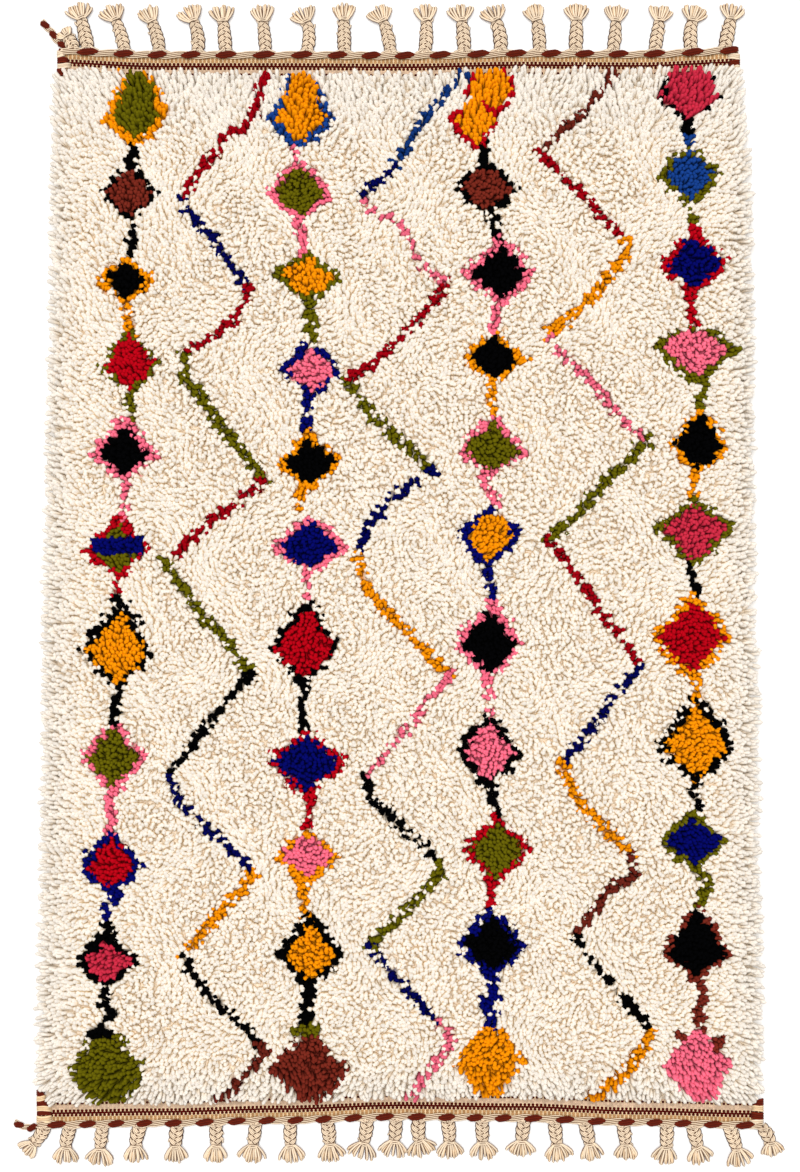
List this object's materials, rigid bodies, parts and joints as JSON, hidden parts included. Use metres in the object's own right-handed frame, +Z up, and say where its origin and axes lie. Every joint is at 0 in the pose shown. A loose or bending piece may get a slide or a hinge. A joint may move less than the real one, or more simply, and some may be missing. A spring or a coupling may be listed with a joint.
{
  "type": "beni ourain rug",
  "caption": "Shaggy hand-knotted wool rug with rows of coloured lozenges and zigzags on an ivory pile, flat-woven end bands, twined end cords and braided fringes.",
  "frame": {"origin": "on the floor, on the flat underside, under the middle of the rug", "axes": "+X across the rug to its right edge, +Y along it to the end with the longer fringe, +Z up out of the pile"},
  "size_m": [1.0783, 1.637, 0.0251],
  "materials": {
    "pile_wool": "shaggy wool pile",
    "band_wool": "flat-woven wool",
    "warp_wool": "braided wool yarn"
  },
  "bodies": {
    "root": {"pile_field": "pile_wool", "end_band_top": "band_wool", "end_band_bottom": "band_wool", "braided_fringe_top": "warp_wool", "braided_fringe_bottom": "warp_wool"}
  },
  "joints": []
}
